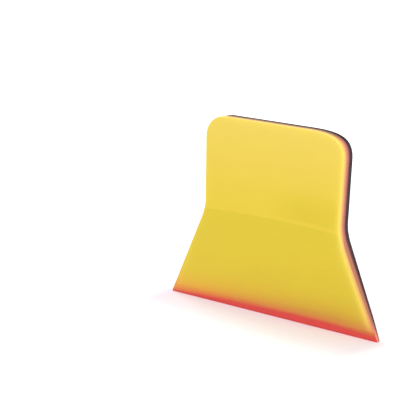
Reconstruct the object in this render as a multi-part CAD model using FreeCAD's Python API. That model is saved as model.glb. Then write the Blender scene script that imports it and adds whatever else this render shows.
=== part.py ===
import FreeCAD, Part
import math
import os
from FreeCAD import Vector

# Three-layer hand squeegee for pressing vinyl and film, standing on its working edge.
# Three flat plastic sheets, yellow, red and black, are glued face to face.
# The laminate is sawn to one outline, then its two faces are ground to a wedge.
# X runs along the working edge, Y through the thickness from yellow to black, Z up.
# The origin is the middle of the box's bottom, so the working edge lies on Z = 0.

# Driving dimensions, mm and degrees: the sawn outline
blade_width = 120.0            # working edge, measured to its sharp corners
blade_corner_radius = 0.6      # the two points of the blade, just broken
blade_height = 46.0            # working edge to the neck
neck_width = 76.0
neck_radius = 20.0             # hollow corner between handle and blade
handle_height = 45.0           # neck to the top edge
top_width = 78.0
left_corner_radius = 10.0      # top corner on the left, seen from the yellow face
right_corner_across = 21.5     # the right one falls away sooner along the top edge
right_corner_down = 12.0
right_corner_pull = 1.3        # and is drawn further into the corner than an arc
face_edge_radius = 0.3         # eased edge round the two outer faces

# Driving dimensions: the sheets and the glue between them
yellow_thickness = 3.05
core_thickness = 2.3
black_thickness = 2.55
glue_thickness = 0.1

# Driving dimensions: the ground faces of the blade
yellow_grind_height = 46.0     # where the yellow face starts to slope
yellow_runout_height = 4.0     # where the slope has used up the yellow sheet
black_grind_height = 47.5      # where the black face starts to slope
black_land = 0.75              # black sheet left where its second facet starts
black_facet_height = 6.0       # from that start down to the end of the black sheet
black_runout_height = 4.8      # where the black sheet ends, at the middle of the blade
black_facet_skew = 1.15        # the second facet was ground slightly out of square

# Stack of the laminate along Y, from the yellow face to the black face
total_thickness = yellow_thickness + core_thickness + black_thickness + 2 * glue_thickness
yellow_face = -total_thickness / 2
yellow_inner = yellow_face + yellow_thickness
core_front = yellow_inner + glue_thickness
core_back = core_front + core_thickness
black_inner = core_back + glue_thickness
black_face = black_inner + black_thickness

total_height = blade_height + handle_height
# The tools that cut the wedge reach this far past the laminate on every side.
cutter_margin = total_thickness


def unit(start, end):
    return (end - start).normalize()


def turn_between(before, corner, after):
    return unit(before, corner).getAngle(unit(corner, after))


def round_reach(before, corner, after, radius):
    """Distance from a corner to where an arc of that radius meets its two sides."""
    return radius * math.tan(turn_between(before, corner, after) / 2)


def corner_arc(before, corner, after, radius):
    """Round off one corner with an arc, tangent to both sides."""
    reach = round_reach(before, corner, after, radius)
    start = corner - unit(before, corner) * reach
    end = corner + unit(corner, after) * reach
    weight = math.cos(turn_between(before, corner, after) / 2)
    middle = (start + corner * (2 * weight) + end) * (1 / (2 + 2 * weight))
    return Part.Arc(start, middle, end)


def corner_conic(before, corner, after, reach_in, reach_out, pull):
    """Round off one corner with a conic that reaches further along one side than the other."""
    curve = Part.BezierCurve()
    start = corner - unit(before, corner) * reach_in
    end = corner + unit(corner, after) * reach_out
    curve.setPoles([start, corner, end])
    curve.setWeight(2, pull)
    return curve


def outline_face():
    """The sawn outline in the XZ plane, with every corner rounded."""
    right_side = [
        Vector(blade_width / 2, 0, 0),
        Vector(neck_width / 2, 0, blade_height),
        Vector(top_width / 2, 0, total_height),
    ]
    left_side = [Vector(-point.x, 0, point.z) for point in reversed(right_side)]
    corners = right_side + left_side
    radii = {0: blade_corner_radius, blade_height: neck_radius, total_height: left_corner_radius}
    curves = []
    for index, corner in enumerate(corners):
        before = corners[index - 1]
        after = corners[(index + 1) % len(corners)]
        if corner.z == total_height and corner.x > 0:
            reaches = (right_corner_down, right_corner_across)
            curves.append(corner_conic(before, corner, after, *reaches, right_corner_pull))
        else:
            curves.append(corner_arc(before, corner, after, radii[corner.z]))
    edges = []
    for index, curve in enumerate(curves):
        edges.append(curve.toShape())
        start = curve.toShape().Vertexes[-1].Point
        end = curves[(index + 1) % len(curves)].toShape().Vertexes[0].Point
        edges.append(Part.LineSegment(start, end).toShape())
    return Part.Face(Part.Wire(edges))


def sheet(front, back):
    """One flat sheet of the laminate, before it is ground."""
    face = outline_face()
    face.translate(Vector(0, front, 0))
    return face.extrude(Vector(0, back - front, 0))


def ease_face_edge(solid, face_y):
    """Round the edge that runs all the way round one outer face."""
    rim = []
    for edge in solid.Edges:
        box = edge.BoundBox
        if abs(box.YMin - face_y) < 1e-6 and abs(box.YMax - face_y) < 1e-6:
            rim.append(edge)
    return solid.makeFillet(face_edge_radius, rim)


def prism_across_blade(points):
    """A prism with a YZ section, longer than the blade on both sides."""
    half_length = blade_width / 2 + cutter_margin
    corners = [Vector(-half_length, y, z) for y, z in points]
    section = Part.Face(Part.makePolygon(corners + corners[:1]))
    return section.extrude(Vector(2 * half_length, 0, 0))


def y_on_line(first, second, z):
    """Where the line through two YZ points passes height z."""
    share = (z - first[1]) / (second[1] - first[1])
    return first[0] + share * (second[0] - first[0])


def yellow_grinder():
    """Everything in front of the sloping yellow face."""
    slope_top = (yellow_face, yellow_grind_height)
    slope_end = (yellow_inner, yellow_runout_height)
    low = -cutter_margin
    return prism_across_blade(
        [
            slope_top,
            (y_on_line(slope_top, slope_end, low), low),
            (yellow_face - cutter_margin, low),
            (yellow_face - cutter_margin, yellow_grind_height),
        ]
    )


def black_grinder():
    """Everything behind the long sloping black face."""
    facet_start = black_runout_height + black_facet_height
    slope_top = (black_face, black_grind_height)
    slope_end = (black_inner + black_land, facet_start)
    low = -cutter_margin
    return prism_across_blade(
        [
            slope_top,
            (y_on_line(slope_top, slope_end, low), low),
            (black_face + cutter_margin, low),
            (black_face + cutter_margin, black_grind_height),
        ]
    )


def black_facet_grinder():
    """Everything behind the short second facet, which is turned a little about Y."""
    facet_end = (black_inner, black_runout_height)
    facet_start = (black_inner + black_land, black_runout_height + black_facet_height)
    low = -cutter_margin
    outside = black_face + cutter_margin
    facet_slope = black_land / black_facet_height
    high = black_runout_height + (outside - black_inner) / facet_slope
    cutter = prism_across_blade(
        [
            (y_on_line(facet_end, facet_start, low), low),
            (outside, low),
            (outside, high),
        ]
    )
    pivot = Vector(0, black_inner, black_runout_height)
    cutter.rotate(pivot, Vector(0, 1, 0), black_facet_skew)
    return cutter


def ground(solid):
    """Cut a layer to the wedge that all the layers share."""
    for cutter in (yellow_grinder(), black_grinder(), black_facet_grinder()):
        solid = solid.cut(cutter)
    return solid.Solids[0]


def yellow_sheet():
    return ground(ease_face_edge(sheet(yellow_face, yellow_inner), yellow_face))


def yellow_glue_film():
    return ground(sheet(yellow_inner, core_front))


def red_core():
    return ground(sheet(core_front, core_back))


def black_glue_film():
    return ground(sheet(core_back, black_inner))


def black_sheet():
    return ground(ease_face_edge(sheet(black_inner, black_face), black_face))


layers = {
    "yellow_sheet": yellow_sheet(),
    "yellow_glue_film": yellow_glue_film(),
    "red_core": red_core(),
    "black_glue_film": black_glue_film(),
    "black_sheet": black_sheet(),
}

os.makedirs("parts", exist_ok=True)
for name, solid in layers.items():
    solid.exportStep("parts/" + name + ".step")
    print(name, round(solid.Volume, 1), "mm3, valid", solid.isValid())
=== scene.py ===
import math

import bmesh
import bpy
import numpy as np
from mathutils import Matrix, Vector


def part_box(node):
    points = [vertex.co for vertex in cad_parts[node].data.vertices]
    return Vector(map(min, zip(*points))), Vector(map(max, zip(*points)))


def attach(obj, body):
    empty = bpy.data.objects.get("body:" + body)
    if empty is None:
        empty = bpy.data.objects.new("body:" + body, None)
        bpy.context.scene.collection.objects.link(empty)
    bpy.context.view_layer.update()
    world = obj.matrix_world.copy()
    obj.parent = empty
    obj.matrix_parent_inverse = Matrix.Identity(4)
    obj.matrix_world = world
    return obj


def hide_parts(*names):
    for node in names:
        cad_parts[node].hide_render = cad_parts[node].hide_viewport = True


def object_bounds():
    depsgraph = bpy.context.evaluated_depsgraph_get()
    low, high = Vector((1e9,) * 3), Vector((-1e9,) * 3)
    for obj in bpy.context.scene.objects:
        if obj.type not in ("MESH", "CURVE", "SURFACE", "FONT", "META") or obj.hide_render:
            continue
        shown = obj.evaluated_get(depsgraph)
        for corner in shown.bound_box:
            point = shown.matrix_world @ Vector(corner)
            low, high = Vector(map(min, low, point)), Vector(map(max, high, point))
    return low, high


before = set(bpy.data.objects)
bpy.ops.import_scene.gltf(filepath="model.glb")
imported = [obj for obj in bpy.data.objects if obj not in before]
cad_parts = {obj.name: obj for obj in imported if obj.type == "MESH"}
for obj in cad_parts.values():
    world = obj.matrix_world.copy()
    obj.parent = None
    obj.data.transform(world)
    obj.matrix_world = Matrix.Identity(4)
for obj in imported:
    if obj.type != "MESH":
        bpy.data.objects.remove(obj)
cad_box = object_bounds()


# The red core is the middle one of three plastic sheets that are glued face to face.
# The stack is sawn to one outline and ground to a wedge, and the core is the layer that
# the grinding leaves bare along the working edge.

MM = 0.001
NECK_HEIGHT = 46 * MM
NECK_HALF_WIDTH = 38 * MM
TOP_HALF_WIDTH = 39 * MM
BLADE_HALF_WIDTH = 60 * MM
BLADE_CORNER_RADIUS = 0.6 * MM
BLADE_CORNER_STEPS = 8
NECK_RADIUS = 20 * MM
NECK_STEPS = 18
LEFT_CORNER_RADIUS = 10 * MM
LEFT_CORNER_STEPS = 40
RIGHT_CORNER_ACROSS = 21.5 * MM
RIGHT_CORNER_DOWN = 12 * MM
RIGHT_CORNER_PULL = 1.3
RIGHT_CORNER_STEPS = 60
ROW_STEP = 0.5 * MM
YELLOW_GRIND_HEIGHT = 46 * MM
BLACK_GRIND_HEIGHT = 47.5 * MM
BLACK_LAND = 0.75 * MM
BLACK_FACET_HEIGHT = 6 * MM
BLACK_RUNOUT_HEIGHT = 4.8 * MM
BLACK_FACET_SKEW = math.tan(math.radians(1.15))
FOLD_SOFTNESS = 0.04 * MM
FOLD_CROWN = 1.1 * MM
HOLLOW_START = 20 * MM
HOLLOW_RUN = 20 * MM
CAST_EDGE_RADIUS = 0.3 * MM
GROUND_EDGE_RADIUS = 0.08 * MM
EDGE_COLUMNS = np.array([0, 0.03, 0.08, 0.15, 0.24, 0.34, 0.6, 1.0]) * MM
COLUMNS = 96
RUNOUT_BAND = 14 * MM
RUNOUT_ROUNDS = 4
WALL_STEP = 0.45 * MM
SAW_DEPTH = 0.03 * MM
FEATHER = 0.5 * MM
STREAK_LENGTH = 21
STREAK_SPREAD = 4
WELD_GAP = 0.002 * MM
SLIVER = 0.001 * MM
SHARP_ANGLE = math.radians(40)

yellow_low, yellow_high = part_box("yellow_sheet")
core_low, core_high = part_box("red_core")
black_low, black_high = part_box("black_sheet")
top_height = core_high.z


def corner_conic(before, corner, after, reach_in, reach_out, pull, steps):
    """Points of a smooth corner that leaves one side and meets the next without a kink."""
    start = corner - (corner - before).normalized() * reach_in
    end = corner + (after - corner).normalized() * reach_out
    points = []
    for step in range(steps + 1):
        t = step / steps
        drawn = 2 * pull * t * (1 - t)
        share = (1 - t) ** 2 + drawn + t**2
        points.append((start * (1 - t) ** 2 + corner * drawn + end * t**2) / share)
    return points


def corner_arc(before, corner, after, radius, steps):
    """Points of a corner that is rounded with an arc."""
    half_turn = (corner - before).angle(after - corner) / 2
    reach = radius * math.tan(half_turn)
    return corner_conic(before, corner, after, reach, reach, math.cos(half_turn), steps)


def sawn_side(right_hand):
    """One side of the outline, from the working edge to the top edge, as distance out and Z."""
    low = Vector((0, 0))
    blade = Vector((BLADE_HALF_WIDTH, 0))
    neck = Vector((NECK_HALF_WIDTH, NECK_HEIGHT))
    shoulder = Vector((TOP_HALF_WIDTH, top_height))
    high = Vector((0, top_height))
    if right_hand:
        reaches = (RIGHT_CORNER_DOWN, RIGHT_CORNER_ACROSS)
        top_corner = corner_conic(neck, shoulder, high, *reaches, RIGHT_CORNER_PULL,
                                  RIGHT_CORNER_STEPS)
    else:
        top_corner = corner_arc(neck, shoulder, high, LEFT_CORNER_RADIUS, LEFT_CORNER_STEPS)
    neck_corner = corner_arc(blade, neck, shoulder, NECK_RADIUS, NECK_STEPS)
    points = corner_arc(low, blade, neck, BLADE_CORNER_RADIUS, BLADE_CORNER_STEPS)
    for curve in (neck_corner, top_corner):
        gap = curve[0] - points[-1]
        steps = int(gap.length / ROW_STEP)
        points += [points[-1] + gap * (step / steps) for step in range(1, steps)]
        points += curve
    return np.array(points)


right_side = sawn_side(True)
left_side = sawn_side(False) * (-1, 1)
row_heights = np.union1d(right_side[:, 1].round(7), left_side[:, 1].round(7))


def left_edge(z):
    """X of the left-hand sawn edge at a height."""
    return np.interp(z, left_side[:, 1], left_side[:, 0])


def right_edge(z):
    """X of the right-hand sawn edge at a height."""
    return np.interp(z, right_side[:, 1], right_side[:, 0])


def from_outline(x, z):
    """Distance of each point from the nearest sawn edge."""
    loop = np.vstack([right_side, left_side[::-1]])
    best = np.full(x.shape, np.inf)
    for start, end in zip(loop, np.roll(loop, -1, axis=0)):
        way = end - start
        share = ((x - start[0]) * way[0] + (z - start[1]) * way[1]) / max(way @ way, 1e-18)
        share = np.clip(share, 0, 1)
        gap = np.hypot(x - start[0] - share * way[0], z - start[1] - share * way[1])
        best = np.minimum(best, gap)
    return best


def larger_softly(a, b):
    """The larger of two surfaces, with the fold between them rubbed a little soft."""
    return (a + b + np.sqrt((a - b) ** 2 + FOLD_SOFTNESS**2)) / 2


def yellow_grind(x, z):
    """Place of the ground yellow face through the thickness. It is hollow below the fold."""
    slope = (yellow_high.y - yellow_low.y) / (YELLOW_GRIND_HEIGHT - yellow_low.z)
    hollow = slope * FOLD_CROWN * (1 - (x / NECK_HALF_WIDTH) ** 2)
    hollow = np.maximum(hollow, 0) * np.clip((z - HOLLOW_START) / HOLLOW_RUN, 0, 1)
    return yellow_high.y - slope * (z - yellow_low.z) + hollow


def black_runout(x):
    """Height at which the second facet has used up the black sheet."""
    return BLACK_RUNOUT_HEIGHT - BLACK_FACET_SKEW * x


def black_grind(x, z):
    """Place of the two ground facets of the black side through the thickness."""
    facet_start = BLACK_RUNOUT_HEIGHT + BLACK_FACET_HEIGHT
    long_slope = (black_high.y - black_low.y - BLACK_LAND) / (BLACK_GRIND_HEIGHT - facet_start)
    long_facet = black_high.y - long_slope * (BLACK_GRIND_HEIGHT - z)
    short_facet = black_low.y + (z - black_runout(x)) * BLACK_LAND / BLACK_FACET_HEIGHT
    return -larger_softly(-long_facet, -short_facet)


def eased(gap, radius):
    """How far a face drops away at a distance from its eased edge."""
    left = np.clip(radius - gap, 0, radius)
    return radius - np.sqrt(radius**2 - left**2)


def layer_grid(runout):
    """X and Z of a layer's points in rows and columns. Its lowest row lies on its runout line."""
    near = EDGE_COLUMNS / (2 * NECK_HALF_WIDTH)
    middle = np.linspace(near[-1], 1 - near[-1], COLUMNS)[1:-1]
    across = np.concatenate([near, middle, 1 - near[::-1]])[None, :]
    heights = row_heights[:, None]
    z = heights
    for _ in range(RUNOUT_ROUNDS):
        x = left_edge(z) * (1 - across) + right_edge(z) * across
        low = runout(x)
        z = np.where(heights < RUNOUT_BAND, low + heights * (1 - low / RUNOUT_BAND), heights)
    return x, z


def streaks(shape, seed):
    """Fine grinding marks from 0 to 1, drawn out along the rows."""
    marks = np.random.default_rng(seed).normal(size=shape)
    kernel = np.hanning(STREAK_LENGTH + 2)
    marks = np.apply_along_axis(np.convolve, 1, marks, kernel / np.sqrt((kernel**2).sum()), "same")
    return np.clip(marks / STREAK_SPREAD + 0.5, 0, 1)


def ground_faces(front, back, x, z, seed, front_marks, back_marks):
    """Where one layer's front and back lie: flat as cast above, ground below, streaked there."""
    gap = from_outline(x, z)
    cast_front = np.full_like(z, front)
    cast_back = np.full_like(z, back)
    ground_front = yellow_grind(x, z)
    ground_back = black_grind(x, z)
    if front == yellow_low.y:
        cast_front += eased(gap, CAST_EDGE_RADIUS)
        ground_front = ground_front + eased(gap, GROUND_EDGE_RADIUS)
    if back == black_high.y:
        cast_back -= eased(gap, CAST_EDGE_RADIUS)
        ground_back = ground_back - eased(gap, GROUND_EDGE_RADIUS)
    y_front = larger_softly(cast_front, ground_front)
    y_back = -larger_softly(-cast_back, -ground_back)
    inner = np.clip(gap / MM, 0, 1)
    marks = streaks(z.shape, seed) * inner * np.clip((y_back - y_front) / FEATHER, 0, 1)
    y_front += np.where(ground_front > cast_front, marks * front_marks, 0)
    y_back -= np.where(ground_back < cast_back, marks * back_marks, 0)
    return y_front, np.maximum(y_back, y_front)


def rim_of(rows, columns):
    """Rows and columns of the points round the edge of a grid, as one loop."""
    loop = [(0, column) for column in range(columns)]
    loop += [(row, columns - 1) for row in range(1, rows)]
    loop += [(rows - 1, column) for column in range(columns - 2, -1, -1)]
    loop += [(row, 0) for row in range(rows - 2, 0, -1)]
    return tuple(np.array(loop).T)


def sawn_rings(x, z, start_y, end_y, ring_count, seed):
    """Rings of points across the sawn edge, set in a little wherever the saw wandered."""
    ways_x = np.roll(x, -1) - np.roll(x, 1)
    ways_z = np.roll(z, -1) - np.roll(z, 1)
    lengths = np.maximum(np.hypot(ways_x, ways_z), 1e-9)
    depth = np.random.default_rng(seed).uniform(0, SAW_DEPTH, len(x))
    depth = depth * np.clip((end_y - start_y) / MM, 0, 1) / lengths
    rings = []
    for ring in range(1, ring_count):
        y = start_y + (end_y - start_y) * ring / ring_count
        rings.append(np.stack([x - depth * ways_z, y, z + depth * ways_x], -1))
    return rings


def closed_mesh(name, points, faces):
    """Weld a mesh shut, turn its faces outwards and note how far each point is from the saw cut."""
    mesh = bpy.data.meshes.new(name)
    mesh.from_pydata(points.tolist(), [], faces.tolist())
    shaped = bmesh.new()
    shaped.from_mesh(mesh)
    bmesh.ops.remove_doubles(shaped, verts=shaped.verts, dist=WELD_GAP)
    bmesh.ops.dissolve_degenerate(shaped, edges=shaped.edges, dist=SLIVER)
    bmesh.ops.recalc_face_normals(shaped, faces=shaped.faces)
    shaped.to_mesh(mesh)
    shaped.free()
    mesh.shade_smooth()
    mesh.set_sharp_from_angle(angle=SHARP_ANGLE)
    places = np.empty(len(mesh.vertices) * 3)
    mesh.vertices.foreach_get("co", places)
    places = places.reshape(-1, 3)
    gaps = mesh.attributes.new("from_edge", "FLOAT", "POINT")
    gaps.data.foreach_set("value", from_outline(places[:, 0], places[:, 2]) / MM)
    return mesh


def layer_piece(name, front, back, runout, seed, front_marks, back_marks):
    """One layer of the laminate, with its faces ground and its sawn edge slightly ragged."""
    x, z = layer_grid(runout)
    y_front, y_back = ground_faces(front, back, x, z, seed, front_marks, back_marks)
    rows, columns = z.shape
    rim = rim_of(rows, columns)
    ring_count = max(2, round((back - front) / WALL_STEP))
    points = [np.stack([x, y, z], -1).reshape(-1, 3) for y in (y_front, y_back)]
    points += sawn_rings(x[rim], z[rim], y_front[rim], y_back[rim], ring_count, seed + 1)
    front_ring = rim[0] * columns + rim[1]
    first_ring = np.arange(len(front_ring)) + 2 * rows * columns
    rings = [first_ring + ring * len(front_ring) for ring in range(ring_count - 1)]
    rings = [front_ring] + rings + [front_ring + rows * columns]
    cells = np.arange(rows * columns).reshape(rows, columns)
    corners = [cells[:-1, :-1], cells[:-1, 1:], cells[1:, 1:], cells[1:, :-1]]
    front_faces = np.stack(corners, -1).reshape(-1, 4)
    faces = [front_faces, front_faces[:, ::-1] + rows * columns]
    for near, far in zip(rings, rings[1:]):
        faces.append(np.stack([near, far, np.roll(far, -1), np.roll(near, -1)], -1))
    piece = bpy.data.objects.new(name, closed_mesh(name, np.vstack(points), np.vstack(faces)))
    bpy.context.scene.collection.objects.link(piece)
    return piece


class Wire:
    """An output in a finish's node tree. Arithmetic on it adds the nodes that work it out."""

    def __init__(self, tree, socket=None):
        self.tree = tree
        self.socket = socket

    def node(self, kind, settings, sockets, output=0):
        """Add one node: its settings first, then a value or a wire for each of its sockets."""
        made = self.tree.nodes.new(kind)
        for name, value in settings.items():
            setattr(made, name, value)
        for name, value in sockets.items():
            if isinstance(value, Wire):
                self.tree.links.new(value.socket, made.inputs[name])
            else:
                made.inputs[name].default_value = value
        return Wire(self.tree, made.outputs[output] if made.outputs else None)

    def math(self, operation, *terms):
        return self.node("ShaderNodeMath", {"operation": operation}, dict(enumerate(terms)))

    def __add__(self, other):
        return self.math("ADD", self, other)

    __radd__ = __add__

    def __sub__(self, other):
        return self.math("SUBTRACT", self, other)

    def __rsub__(self, other):
        return self.math("SUBTRACT", other, self)

    def __mul__(self, other):
        return self.math("MULTIPLY", self, other)

    __rmul__ = __mul__

    def __truediv__(self, other):
        return self.math("DIVIDE", self, other)

    def __rtruediv__(self, other):
        return self.math("DIVIDE", other, self)

    def exp(self):
        return self.math("EXPONENT", self)

    def ramp(self, low, high):
        """0 up to the low value, 1 from the high value on, and smooth between them."""
        sockets = {"Value": self, "From Min": low, "From Max": high}
        return self.node("ShaderNodeMapRange", {"interpolation_type": "SMOOTHSTEP"}, sockets)

    def mix(self, low, high):
        """Two colours blended by this wire."""
        return self.node("ShaderNodeMix", {"data_type": "RGBA"}, {0: self, 6: low, 7: high}, 2)

    def shade(self, colour):
        """A colour made this many times as bright."""
        settings = {"data_type": "RGBA", "blend_type": "MULTIPLY"}
        return self.node("ShaderNodeMix", settings, {0: 1.0, 6: colour, 7: self}, 2)

    def noise(self, size, detail=3.0):
        """Cloudy variation about 0, on blots of the given size along X, Y and Z in mm."""
        scale = tuple(1 / (MM * axis) for axis in size)
        place = self.node("ShaderNodeMapping", {}, {"Vector": self, "Scale": scale})
        sockets = {"Vector": place, "Detail": detail, "Scale": 1.0}
        return self.node("ShaderNodeTexNoise", {}, sockets) - 0.5


def new_finish(name):
    """A new material, with wires for its Object coordinates and for X, Y and Z in mm."""
    material = bpy.data.materials.new(name)
    material.use_nodes = True
    material.node_tree.nodes.clear()
    place = Wire(material.node_tree).node("ShaderNodeTexCoord", {}, {}, "Object")
    axes = [place.node("ShaderNodeSeparateXYZ", {}, {0: place}, axis) / MM for axis in range(3)]
    return material, place, axes


def surface(place, colour, roughness, height, depth, specular=0.5):
    """Close a finish with one plastic surface and its fine relief."""
    sockets = {"Height": height, "Distance": depth, "Strength": 1.0}
    relief = place.node("ShaderNodeBump", {}, sockets)
    sockets = {
        "Base Color": colour,
        "Roughness": roughness,
        "Specular IOR Level": specular,
        "Normal": relief,
    }
    shader = place.node("ShaderNodeBsdfPrincipled", {}, sockets)
    place.node("ShaderNodeOutputMaterial", {}, {"Surface": shader})


def dress(piece, material):
    """Give a piece its finish."""
    piece.data.materials.clear()
    piece.data.materials.append(material)


# In the finishes, a pair says where a change begins and ends: in mm, or for a SHARE as a
# part of the sheet's thickness. Three sizes say how long a noise's blots are along X, Y, Z.
CORE_SEED = 21
MARK_DEPTH = 0.012 * MM
BACK_MARK_DEPTH = 0.01 * MM
RELIEF_DEPTH = 0.02 * MM
CORE_ROUGHNESS = 0.5
GRIND_GRAIN_MM = (6, 0.5, 0.12)
SAW_GRAIN_MM = (0.25, 3, 0.25)
SAWN_RIM_MM = (0.03, 0.12)
HOLLOW_CORNER_MM = (36, NECK_HEIGHT / MM)
CENTRE_MM = (-5, 5)
WORKING_EDGE_MM = (0.0, 0.9)
WORKING_EDGE_PAINTED_SHADE = 0.78
BLADE_TIP_MM = (1, 10)
TOP_EDGE_MM = (87, 90)
FRONT_SHARE = (0.3, 0.4)
DUSKY_SHARE = (0.3, 1.0)
ORANGE_SHARE = (0.0, 0.45)
MAROON_SHARE = (0.6, 1.05)
RED_HEIGHT_MM = 2.65
RED_TILT = 0.0205
RED_BOW = 0.00034
RED_END_MM = (30, 58)
RED_END_DROP_MM = 0.7
RED_CLOUD_MM = (9, 9, 9)
RED_FRAY_MM = (1.5, 1.5, 0.4)
FADE_MM = 4.3
LEFT_BRIGHTER = 0.45
RIGHT_DULLER = 0.5
DULLING_MM = (-60, 40)
RED = (0.70, 0.055, 0.045, 1)
BACK_RED = (0.78, 0.085, 0.10, 1)
PINK = (0.54, 0.165, 0.14, 1)
LEFT_PINK = (0.60, 0.15, 0.16, 1)
TAN_PINK = (0.485, 0.177, 0.088, 1)
DUSKY_PINK = (0.35, 0.122, 0.101, 1)
TIP_PINK = (0.90, 0.24, 0.16, 1)
ORANGE = (0.78, 0.34, 0.12, 1)
TOP_BROWN = (0.32, 0.185, 0.075, 1)
MAROON = (0.13, 0.045, 0.055, 1)
BLADE_YELLOW = (0.715, 0.545, 0.017, 1)


def edge_gap(place):
    """Distance in mm from the sawn edge."""
    return place.node("ShaderNodeAttribute", {"attribute_name": "from_edge"}, {}, "Fac")


def sawn(place):
    """1 on the sawn edge and 0 on the two faces."""
    return 1 - edge_gap(place).ramp(*SAWN_RIM_MM)


def on_blade(z):
    """1 on the blade and 0 on the handle, changing over along the hollow corner."""
    return 1 - z.ramp(*HOLLOW_CORNER_MM)


def red_showing(place, x, z):
    """How much red shows on the ground front: all of it at the edge, fading up the blade."""
    wander = place.noise(RED_CLOUD_MM) * 0.5 + place.noise(RED_FRAY_MM) * 0.35
    start = RED_HEIGHT_MM + x * RED_TILT - x * x * RED_BOW
    start = start - x.ramp(*RED_END_MM) * RED_END_DROP_MM + wander
    return place.math("MINIMUM", ((start - z) / FADE_MM).exp(), 1.0)


def ground_colour(red, x):
    """Colour of the ground front, from red at the working edge to yellow up the blade."""
    duller = (LEFT_BRIGHTER + RIGHT_DULLER) * x.ramp(*DULLING_MM) - LEFT_BRIGHTER
    return (1 - (red - red * red) * duller).shade(red.mix(BLADE_YELLOW, RED))


def red_finish():
    """Red plastic: ground bright at the working edge and whitened by the saw along the sides."""
    material, place, (x, y, z) = new_finish("red_core_plastic")
    cut = sawn(place)
    fine = place.noise(GRIND_GRAIN_MM)
    edge = place.noise(SAW_GRAIN_MM)
    through = (y - core_low.y / MM) / ((core_high.y - core_low.y) / MM)
    # Painted shade: the red is darker along the lowest part of the working edge, where it meets the
    # sweep.
    painted_edge_shade = WORKING_EDGE_PAINTED_SHADE + (1 - WORKING_EDGE_PAINTED_SHADE) * z.ramp(*WORKING_EDGE_MM)
    front = painted_edge_shade.shade(ground_colour(red_showing(place, x, z), x))
    face = through.ramp(*FRONT_SHARE).mix(front, BACK_RED)
    blade = on_blade(z)
    right = x.ramp(*CENTRE_MM)
    blade_pink = through.ramp(*DUSKY_SHARE).mix(TAN_PINK, DUSKY_PINK)
    pink = right.mix(LEFT_PINK, blade.mix(PINK, blade_pink))
    side_red = (through + blade).ramp(*ORANGE_SHARE).mix(ORANGE, pink)
    side_red = (1 - z.ramp(*BLADE_TIP_MM)).mix(side_red, TIP_PINK)
    side_red = z.ramp(*TOP_EDGE_MM).mix(side_red, TOP_BROWN)
    dark = through + blade * 0.15 - (1 - right) * 0.2
    side_red = dark.ramp(*MAROON_SHARE).mix(side_red, MAROON)
    colour = (1 + fine * 0.25 + edge * cut * 0.4).shade(cut.mix(face, side_red))
    roughness = CORE_ROUGHNESS + fine * 0.3 + cut * 0.4
    surface(place, colour, roughness, fine + edge * cut * 2, RELIEF_DEPTH)
    return material


core = layer_piece("red_core_sheet", core_low.y, core_high.y,
                   lambda x: np.zeros_like(x), CORE_SEED, MARK_DEPTH, BACK_MARK_DEPTH)
dress(core, red_finish())
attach(core, "root")
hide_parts("red_core")


# The yellow grip sheet is the front layer, of clouded plastic glued to the core. Above the
# fold it keeps its cast surface. Below, it is ground thinner and thinner, so that the red
# core shows through more and more towards the working edge.

CAST_YELLOW = (0.77, 0.568, 0.020, 1)
DEEPER_YELLOW = (0.705, 0.53, 0.008, 1)
PAINTED_SHEEN_YELLOW = (0.82, 0.61, 0.078, 1)
SAWN_YELLOW = (0.95, 0.72, 0.10, 1)
PEACH = (0.90, 0.47, 0.16, 1)
SALMON = (0.95, 0.28, 0.16, 1)
YELLOW_SEED = 11
YELLOW_ROUGHNESS = 0.34
YELLOW_STREAK_MM = (7, 1, 0.18)
YELLOW_CLOUD_MM = (30, 30, 14)
YELLOW_PEBBLE_MM = (2.2, 2.2, 2.2)
YELLOW_FOLD_MM = (-0.5, 0.5)
YELLOW_PAINTED_SHEEN_MM = (45, 100)
DEEPER_SHARE = 0.8
DEEPER_LEFT_MM = (-5, 18)
DEEPER_BOTTOM_MM = (1.0, 2.6)
DEEPER_TOP_MM = (54, 64)
RIGHT_HALF_MM = (-10, 10)
SHIFT_MM = 1.05
SHIFT_START_MM = (0, 36)
SHIFT_END_MM = (38, 46)
SEAM_GLOW_MM = 0.45
EASED_GLOW = 1.2
GLOW_WIDTH_MM = 2.2
GLOW_FADE_MM = 1.7
GLOW_SHARE = 0.9
LEFT_GLOW = 0.25
GLOW_LINE_MM = 78
GLOW_LINE_LEAN = 2.2
GLOW_LINE_BLEND_MM = (-30, 10)
PEACH_BAND_MM = (0.1, 1.9)
PINK_BAND_MM = (-0.9, 0.4)
SALMON_HEIGHT_MM = 3
SALMON_FADE_MM = 4


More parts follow.
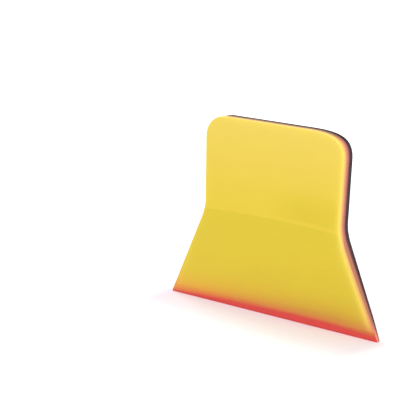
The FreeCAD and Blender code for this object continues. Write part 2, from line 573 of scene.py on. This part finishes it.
def yellow_finish():
    """Yellow plastic: smooth as cast, streaked where ground, with a painted sheen and a painted
    glow at the sawn edge.
    """
    material, place, (x, y, z) = new_finish("yellow_grip_plastic")
    cut = sawn(place)
    crown = FOLD_CROWN / MM * (1 - x * x / (NECK_HALF_WIDTH / MM) ** 2)
    above_fold = z - crown - YELLOW_GRIND_HEIGHT / MM
    fold = above_fold.ramp(*YELLOW_FOLD_MM)
    streak = place.noise(YELLOW_STREAK_MM)
    cloud = place.noise(YELLOW_CLOUD_MM, 2.0)
    edge = place.noise(SAW_GRAIN_MM)
    red = red_showing(place, x, z)
    # Painted sheen: the cast yellow turns paler towards the top, standing in for a reflection.
    cast_and_sheen = z.ramp(*YELLOW_PAINTED_SHEEN_MM).mix(CAST_YELLOW, PAINTED_SHEEN_YELLOW)
    # A deeper, more saturated yellow just above the fold, right of the middle.
    deeper_patch = x.ramp(*DEEPER_LEFT_MM) * above_fold.ramp(*DEEPER_BOTTOM_MM)
    deeper_patch = deeper_patch * (1 - z.ramp(*DEEPER_TOP_MM)) * DEEPER_SHARE
    face = fold.mix(ground_colour(red, x), deeper_patch.mix(cast_and_sheen, DEEPER_YELLOW))
    right = x.ramp(*RIGHT_HALF_MM)
    shift = SHIFT_MM * right * z.ramp(*SHIFT_START_MM) * (1 - z.ramp(*SHIFT_END_MM))
    to_core = yellow_high.y / MM - y - shift - SEAM_GLOW_MM + edge_gap(place) * EASED_GLOW
    # Painted glow: the yellow is lit up near the sawn edge and where it is ground thin, most on the
    # right half and along the top, where the lamps shine in.
    painted_light_side = (x + (z - GLOW_LINE_MM) * GLOW_LINE_LEAN).ramp(*GLOW_LINE_BLEND_MM)
    painted_light_side = LEFT_GLOW + (1 - LEFT_GLOW) * place.math("MAXIMUM", painted_light_side, right)
    painted_glow = place.math("MINIMUM", ((GLOW_WIDTH_MM - to_core) / GLOW_FADE_MM).exp(), 1.0)
    painted_glow = painted_glow * (1 - red * 0.7) * painted_light_side * GLOW_SHARE
    rim = to_core.ramp(*PEACH_BAND_MM).mix(PEACH, SAWN_YELLOW)
    rim = to_core.ramp(*PINK_BAND_MM).mix(on_blade(z).mix(PINK, TAN_PINK), rim)
    rim = ((SALMON_HEIGHT_MM - z) / SALMON_FADE_MM).exp().mix(rim, SALMON)
    colour = place.math("MAXIMUM", painted_glow, cut).mix(face, rim)
    ground = (1 - fold) * (1 - cut)
    colour = (1 + streak * ground * 0.10 + cloud * 0.06 + edge * cut * 0.2).shade(colour)
    roughness = YELLOW_ROUGHNESS + ground * 0.2 + cut * 0.2 + streak * ground * 0.3
    relief = streak * ground + edge * cut * 2 + place.noise(YELLOW_PEBBLE_MM) * fold * 0.15
    surface(place, colour, roughness, relief, RELIEF_DEPTH)
    return material


yellow = layer_piece("yellow_grip_sheet", yellow_low.y, yellow_high.y,
                     lambda x: np.full_like(x, yellow_low.z), YELLOW_SEED, MARK_DEPTH, 0)
dress(yellow, yellow_finish())
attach(yellow, "root")
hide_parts("yellow_sheet")


# The black sheet is the back layer, a little thinner than the yellow one and glued to the
# core like it. Its upper part is satin as cast, with a painted sheen across it. It is ground
# in two facets, a long one and a short steep one that runs out above the bare red edge.

DEEP_BLACK = (0.0035, 0.0035, 0.004, 1)
PAINTED_SHEEN_BLACK = (0.066, 0.066, 0.071, 1)
GROUND_BLACK = (0.026, 0.026, 0.027, 1)
GROUND_GREY = (0.042, 0.042, 0.043, 1)
FACET_BLACK = (0.013, 0.012, 0.013, 1)
SAWN_BLACK = (0.050, 0.044, 0.048, 1)
BLACK_SEED = 31
BLACK_MARK_DEPTH = 0.02 * MM
BLACK_RELIEF_DEPTH = 0.025 * MM
BLACK_ROUGHNESS = 0.33
BLACK_SPECULAR = 0.15
SCRATCH_MM = (8, 1, 0.25)
MOTTLE_MM = (2.5, 1, 1.2)
BLACK_CLOUD_MM = (24, 24, 16)
BLACK_PEBBLE_MM = (1.6, 1.6, 1.6)
BLACK_SAW_GRAIN_MM = (0.3, 3, 0.3)
BLACK_FOLD_MM = 0.4
FACET_FOLD_MM = 0.5
GREY_RIGHT_MM = (0, 34)
GREY_UP_MM = (26, 47)
BLACK_PAINTED_SHEEN_MM = (-30, 46)
SIDE_MAROON_SHARE = (-0.1, 0.6)
SIDE_LIFT_MM = (20, 46)
TOP_SHADE_MM = (84, 90)


def black_finish():
    """Black plastic: satin as cast with a painted sheen, grey and streaky where ground, rough where
    sawn.
    """
    material, place, (x, y, z) = new_finish("black_back_plastic")
    cut = sawn(place)
    fold_height = BLACK_GRIND_HEIGHT / MM
    fold = z.ramp(fold_height - BLACK_FOLD_MM, fold_height + BLACK_FOLD_MM)
    facet_top = (BLACK_RUNOUT_HEIGHT + BLACK_FACET_HEIGHT) / MM
    facet = 1 - z.ramp(facet_top - FACET_FOLD_MM, facet_top + FACET_FOLD_MM)
    streak = place.noise(SCRATCH_MM)
    mottle = place.noise(MOTTLE_MM)
    cloud = place.noise(BLACK_CLOUD_MM, 2.0)
    edge = place.noise(BLACK_SAW_GRAIN_MM)
    ground = (x.ramp(*GREY_RIGHT_MM) * z.ramp(*GREY_UP_MM)).mix(GROUND_BLACK, GROUND_GREY)
    ground = (1 + streak * 1.1 + mottle * 0.8 + cloud * 0.5).shade(ground)
    ground = facet.mix(ground, FACET_BLACK)
    # Painted sheen: the cast black is paler towards -X, standing in for a reflection.
    cast_and_sheen = x.ramp(*BLACK_PAINTED_SHEEN_MM).mix(PAINTED_SHEEN_BLACK, DEEP_BLACK)
    face = fold.mix(ground, (1 + cloud * 0.15).shade(cast_and_sheen))
    through = (y - black_low.y / MM) / ((black_high.y - black_low.y) / MM)
    side_colour = (1 + edge * 1.2).shade(SAWN_BLACK)
    side_colour = through.ramp(*SIDE_MAROON_SHARE).mix(MAROON, side_colour)
    # Painted shade: the sawn black side is darker low on the blade and along the top edge.
    painted_side_shade = 0.5 + 0.5 * z.ramp(*SIDE_LIFT_MM) - 0.6 * z.ramp(*TOP_SHADE_MM)
    side_colour = painted_side_shade.shade(side_colour)
    colour = cut.mix(face, side_colour)
    ground_only = (1 - fold) * (1 - cut)
    roughness = BLACK_ROUGHNESS + ground_only * (0.25 + streak * 0.2) + cut * 0.6
    relief = (streak + mottle) * ground_only + edge * cut * 2
    relief = relief + place.noise(BLACK_PEBBLE_MM) * fold * 0.15
    surface(place, colour, roughness, relief, BLACK_RELIEF_DEPTH, BLACK_SPECULAR)
    return material


black = layer_piece("black_back_sheet", black_low.y, black_high.y,
                    black_runout, BLACK_SEED, 0, BLACK_MARK_DEPTH)
dress(black, black_finish())
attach(black, "root")
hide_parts("black_sheet")


# Burrs of torn plastic that the saw left along both sides of the black face. They are a
# few tenths of a millimetre across and sit in the eased edge, about one to a saw tooth's bite.

BURR_PITCH = 1.0 * MM
BURR_RADIUS = 0.2 * MM
BURR_INSET = 0.12 * MM
BURR_DEPTH = 0.26 * MM
BURR_LOWEST = 14 * MM
BURR_HIGHEST = 87 * MM
BURR_SHARE = 0.75
SMALLEST_BURR = (0.5, 0.5, 0.5)
LARGEST_BURR = (1.25, 1.25, 1.25)
BURR_SEED = 41
BURR_GREY = (0.44, 0.43, 0.44, 1)
BURR_PATCH_MM = (0.2, 0.2, 0.2)
BURR_ROUGHNESS = 0.6
BURR_RELIEF_DEPTH = 0.01 * MM


def burr_tree():
    """Geometry Nodes that set small round burrs at a pitch along a curve."""
    tree = bpy.data.node_groups.new("burrs_along_edge", "GeometryNodeTree")
    kinds = {"Path": "Geometry", "Pitch": "Float", "Radius": "Float", "Share": "Float",
             "Seed": "Int", "Finish": "Material"}
    for name, kind in kinds.items():
        tree.interface.new_socket(name, in_out="INPUT", socket_type="NodeSocket" + kind)
    tree.interface.new_socket("Burrs", in_out="OUTPUT", socket_type="NodeSocketGeometry")
    start = Wire(tree)
    given = {name: start.node("NodeGroupInput", {}, {}, name) for name in kinds}
    spots = start.node("GeometryNodeResampleCurve", {"mode": "LENGTH"},
                       {"Curve": given["Path"], "Length": given["Pitch"]})
    burr = start.node("GeometryNodeMeshIcoSphere", {},
                      {"Radius": given["Radius"], "Subdivisions": 2})
    there = start.node("FunctionNodeRandomValue", {"data_type": "BOOLEAN"},
                       {6: given["Share"], 8: given["Seed"]}, 3)
    size = start.node("FunctionNodeRandomValue", {"data_type": "FLOAT_VECTOR"},
                      {0: SMALLEST_BURR, 1: LARGEST_BURR, 8: given["Seed"]})
    burrs = start.node("GeometryNodeInstanceOnPoints", {},
                       {"Points": spots, "Selection": there, "Instance": burr, "Scale": size})
    burrs = start.node("GeometryNodeRealizeInstances", {}, {"Geometry": burrs})
    burrs = start.node("GeometryNodeSetMaterial", {},
                       {"Geometry": burrs, "Material": given["Finish"]})
    start.node("NodeGroupOutput", {}, {"Burrs": burrs})
    return tree


def burr_finish():
    """Torn black plastic, whitened where it was stretched."""
    material, place, _ = new_finish("torn_black_plastic")
    patch = place.noise(BURR_PATCH_MM)
    colour = (1 + patch).shade(BURR_GREY)
    surface(place, colour, BURR_ROUGHNESS + patch * 0.2, patch, BURR_RELIEF_DEPTH)
    return material


burr_layout = burr_tree()
torn_plastic = burr_finish()


def burr_row(name, side, inward, seed):
    """The burrs along one side, as a plain mesh."""
    side = side[(side[:, 1] > BURR_LOWEST) & (side[:, 1] < BURR_HIGHEST)]
    way = np.gradient(side, axis=0)
    way /= np.hypot(way[:, 0], way[:, 1])[:, None]
    x = side[:, 0] - inward * way[:, 1] * BURR_INSET
    z = side[:, 1] + inward * way[:, 0] * BURR_INSET
    y = np.minimum(black_high.y, black_grind(x, z)) - BURR_DEPTH
    curve = bpy.data.curves.new(name, "CURVE")
    curve.dimensions = "3D"
    path = curve.splines.new("POLY")
    path.points.add(len(x) - 1)
    path.points.foreach_set("co", np.stack([x, y, z, np.ones_like(x)], -1).ravel())
    guide = bpy.data.objects.new(name, curve)
    bpy.context.scene.collection.objects.link(guide)
    step = guide.modifiers.new("burrs", "NODES")
    step.node_group = burr_layout
    values = {"Pitch": BURR_PITCH, "Radius": BURR_RADIUS, "Share": BURR_SHARE, "Seed": seed,
              "Finish": torn_plastic}
    for socket in burr_layout.interface.items_tree:
        if socket.name in values:
            step[socket.identifier] = values[socket.name]
    graph = bpy.context.evaluated_depsgraph_get()
    mesh = bpy.data.meshes.new_from_object(guide.evaluated_get(graph), depsgraph=graph)
    guide.modifiers.remove(step)
    bpy.data.objects.remove(guide)
    row = bpy.data.objects.new(name, mesh)
    bpy.context.scene.collection.objects.link(row)
    return row


for name, side, inward in (("black_edge_burrs_right", right_side, 1),
                           ("black_edge_burrs_left", left_side, -1)):
    burrs = burr_row(name, side, inward, BURR_SEED + inward)
    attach(burrs, "root")


# The two glue films hold the sheets together. They are a tenth of a millimetre thick, so
# each shows as a hairline round the sawn edge and as a narrow band where the grinding
# cuts across it.

SEAM_MAROON = (0.09, 0.02, 0.03, 1)
FILM_CLOUD_MM = (1.5, 1.5, 1.5)
FILM_RELIEF_DEPTH = 0.005 * MM
FILM_GROUND_MM = (3.8, 6.0)
FILM_ROUGHNESS = 0.3
GROUND_FILM_ROUGHNESS = 0.54


def film_finish(name, side_colour):
    """Cured glue: the front one takes up the red that shows through, the back one is dark."""
    material, place, (x, _, z) = new_finish(name)
    cloud = place.noise(FILM_CLOUD_MM)
    colour = (1 + cloud * 0.2).shade(side_colour)
    roughness = FILM_ROUGHNESS + cloud * 0.2
    if name == "front_glue":
        fine = place.noise(GRIND_GRAIN_MM)
        ground = (1 + fine * 0.15).shade(ground_colour(red_showing(place, x, z), x))
        colour = z.ramp(*FILM_GROUND_MM).mix(ground, on_blade(z).mix(colour, TAN_PINK))
        roughness = GROUND_FILM_ROUGHNESS + cloud * 0.1
    surface(place, colour, roughness, cloud, FILM_RELIEF_DEPTH)
    return material


dress(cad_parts["yellow_glue_film"], film_finish("front_glue", ORANGE))
dress(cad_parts["black_glue_film"], film_finish("back_glue", SEAM_MAROON))


# A white sweep under three soft boxes: a big one high in front, and a small one low on each
# side that catches the sawn edge. The surround is an even white. Before the blade the sweep
# is painted a little darker and pinker: a painted shadow, tinted as if the translucent sheets
# spilled coloured light on it.

FLOOR_HALF = 6.0
FLOOR_WHITE = (0.86, 0.86, 0.86, 1)
LEFT_PAINTED_SHADOW = (0.85, 0.80, 0.905, 1)
RIGHT_PAINTED_SHADOW = (0.86, 0.79, 0.82, 1)
PAINTED_SHADOW_NEAR_MM = 8
PAINTED_SHADOW_FAR_MM = 60
PAINTED_SHADOW_END_MM = 4
PAINTED_SHADOW_END_FALL = 12
PAINTED_SHADOW_BACK_MM = (0, 6)
PAINTED_SHADOW_TURN_MM = (-20, 55)
FLOOR_LIFT = 0.34
FAR_LIFT = 0.22
FAR_FLOOR_MM = (150, 900)
UNLIT = (0, 0, 0, 1)
PLAIN_WHITE = (1, 1, 1, 1)
SURROUND_GREY = (0.62, 0.62, 0.62, 1)
LAMP_AIM = (0, 0, 0.05)


def seen(start):
    """1 where the camera looks, also in a gloss or through a clear piece, and 0 elsewhere."""
    rays = [start.node("ShaderNodeLightPath", {}, {}, kind)
            for kind in ("Is Camera Ray", "Is Glossy Ray", "Is Transmission Ray")]
    return start.math("MAXIMUM", start.math("MAXIMUM", rays[0], rays[1]), rays[2])


def sweep_finish():
    """Matt white, lifted to plain white away from the squeegee, with a painted pink shadow before
    it.
    """
    material, place, (x, y, _) = new_finish("white_sweep")
    # Painted shadow: close before the blade the sweep turns a little darker and pinker, and is not
    # lifted there.
    past_end = x.math("ABSOLUTE", x) - (BLADE_HALF_WIDTH / MM - PAINTED_SHADOW_END_MM)
    past_end = place.math("MAXIMUM", past_end, 0.0)
    away_mm = place.math("SQRT", past_end * past_end * PAINTED_SHADOW_END_FALL + y * y)
    away_mm = away_mm + y.ramp(*PAINTED_SHADOW_BACK_MM) * PAINTED_SHADOW_FAR_MM
    near = 1 - away_mm.ramp(PAINTED_SHADOW_NEAR_MM, PAINTED_SHADOW_FAR_MM)
    painted_shadow = x.ramp(*PAINTED_SHADOW_TURN_MM).mix(LEFT_PAINTED_SHADOW, RIGHT_PAINTED_SHADOW)
    matt = place.node("ShaderNodeBsdfDiffuse", {}, {"Color": near.mix(FLOOR_WHITE, painted_shadow)})
    lift = seen(place) * (FLOOR_LIFT * (1 - near) + FAR_LIFT * away_mm.ramp(*FAR_FLOOR_MM))
    sockets = {"Color": lift.mix(UNLIT, PLAIN_WHITE), "Strength": 1.0}
    lifted = place.node("ShaderNodeEmission", {}, sockets)
    both = place.node("ShaderNodeAddShader", {}, {0: matt, 1: lifted})
    place.node("ShaderNodeOutputMaterial", {}, {"Surface": both})
    return material


floor_mesh = bpy.data.meshes.new("floor")
floor_corners = [(-FLOOR_HALF, -FLOOR_HALF, 0), (FLOOR_HALF, -FLOOR_HALF, 0),
                 (FLOOR_HALF, FLOOR_HALF, 0), (-FLOOR_HALF, FLOOR_HALF, 0)]
floor_mesh.from_pydata(floor_corners, [], [(0, 1, 2, 3)])
floor = bpy.data.objects.new("floor", floor_mesh)
bpy.context.scene.collection.objects.link(floor)
dress(floor, sweep_finish())

surround = bpy.data.worlds.new("surround")
bpy.context.scene.world = surround
surround.use_nodes = True
surround.node_tree.nodes.clear()
light = Wire(surround.node_tree)
sky_colour = seen(light).mix(SURROUND_GREY, PLAIN_WHITE)
sky = light.node("ShaderNodeBackground", {}, {"Color": sky_colour, "Strength": 1.0})
light.node("ShaderNodeOutputWorld", {}, {"Surface": sky})


def soft_box(name, place, size, strength):
    """A square area lamp that the camera doesn't see, turned to the squeegee."""
    lamp = bpy.data.lights.new(name, "AREA")
    lamp.shape = "SQUARE"
    lamp.size = size
    lamp.energy = strength
    stand = bpy.data.objects.new(name, lamp)
    stand.location = place
    stand.rotation_mode = "QUATERNION"
    stand.rotation_quaternion = (Vector(LAMP_AIM) - Vector(place)).to_track_quat("-Z", "Y")
    stand.visible_camera = False
    bpy.context.scene.collection.objects.link(stand)


soft_box("front_box", (0.15, -0.8, 1.1), 0.9, 8.1)
soft_box("right_box", (1.1, -0.1, 0.55), 0.6, 4.0)
soft_box("left_box", (-1.1, 0.5, 0.6), 0.6, 5.0)


# The camera stands to the right of the yellow face and a little above it, turned slightly
# on its axis, with a long lens.

LENS = 135
SENSOR = 36
AZIMUTH = math.radians(38.976)
ELEVATION = math.radians(12.3)
ROLL = math.radians(1.709)
DISTANCE = 694.01 * MM
AIM = Vector((-34.376, 9.508, 0)) * MM
centre = (cad_box[0] + cad_box[1]) / 2
away = Vector((
    math.sin(AZIMUTH) * math.cos(ELEVATION),
    -math.cos(AZIMUTH) * math.cos(ELEVATION),
    math.sin(ELEVATION),
))
turn = (-away).to_track_quat("-Z", "Y").to_matrix() @ Matrix.Rotation(ROLL, 3, "Z")
camera = bpy.data.objects.new("camera", bpy.data.cameras.new("camera"))
camera.data.lens = LENS
camera.data.sensor_width = SENSOR
camera.data.clip_start = 10 * MM
camera.rotation_mode = "QUATERNION"
camera.location = centre + turn @ AIM + away * DISTANCE
camera.rotation_quaternion = turn.to_quaternion()
bpy.context.scene.collection.objects.link(camera)
bpy.context.scene.camera = camera
bpy.context.scene.view_settings.view_transform = "Standard"
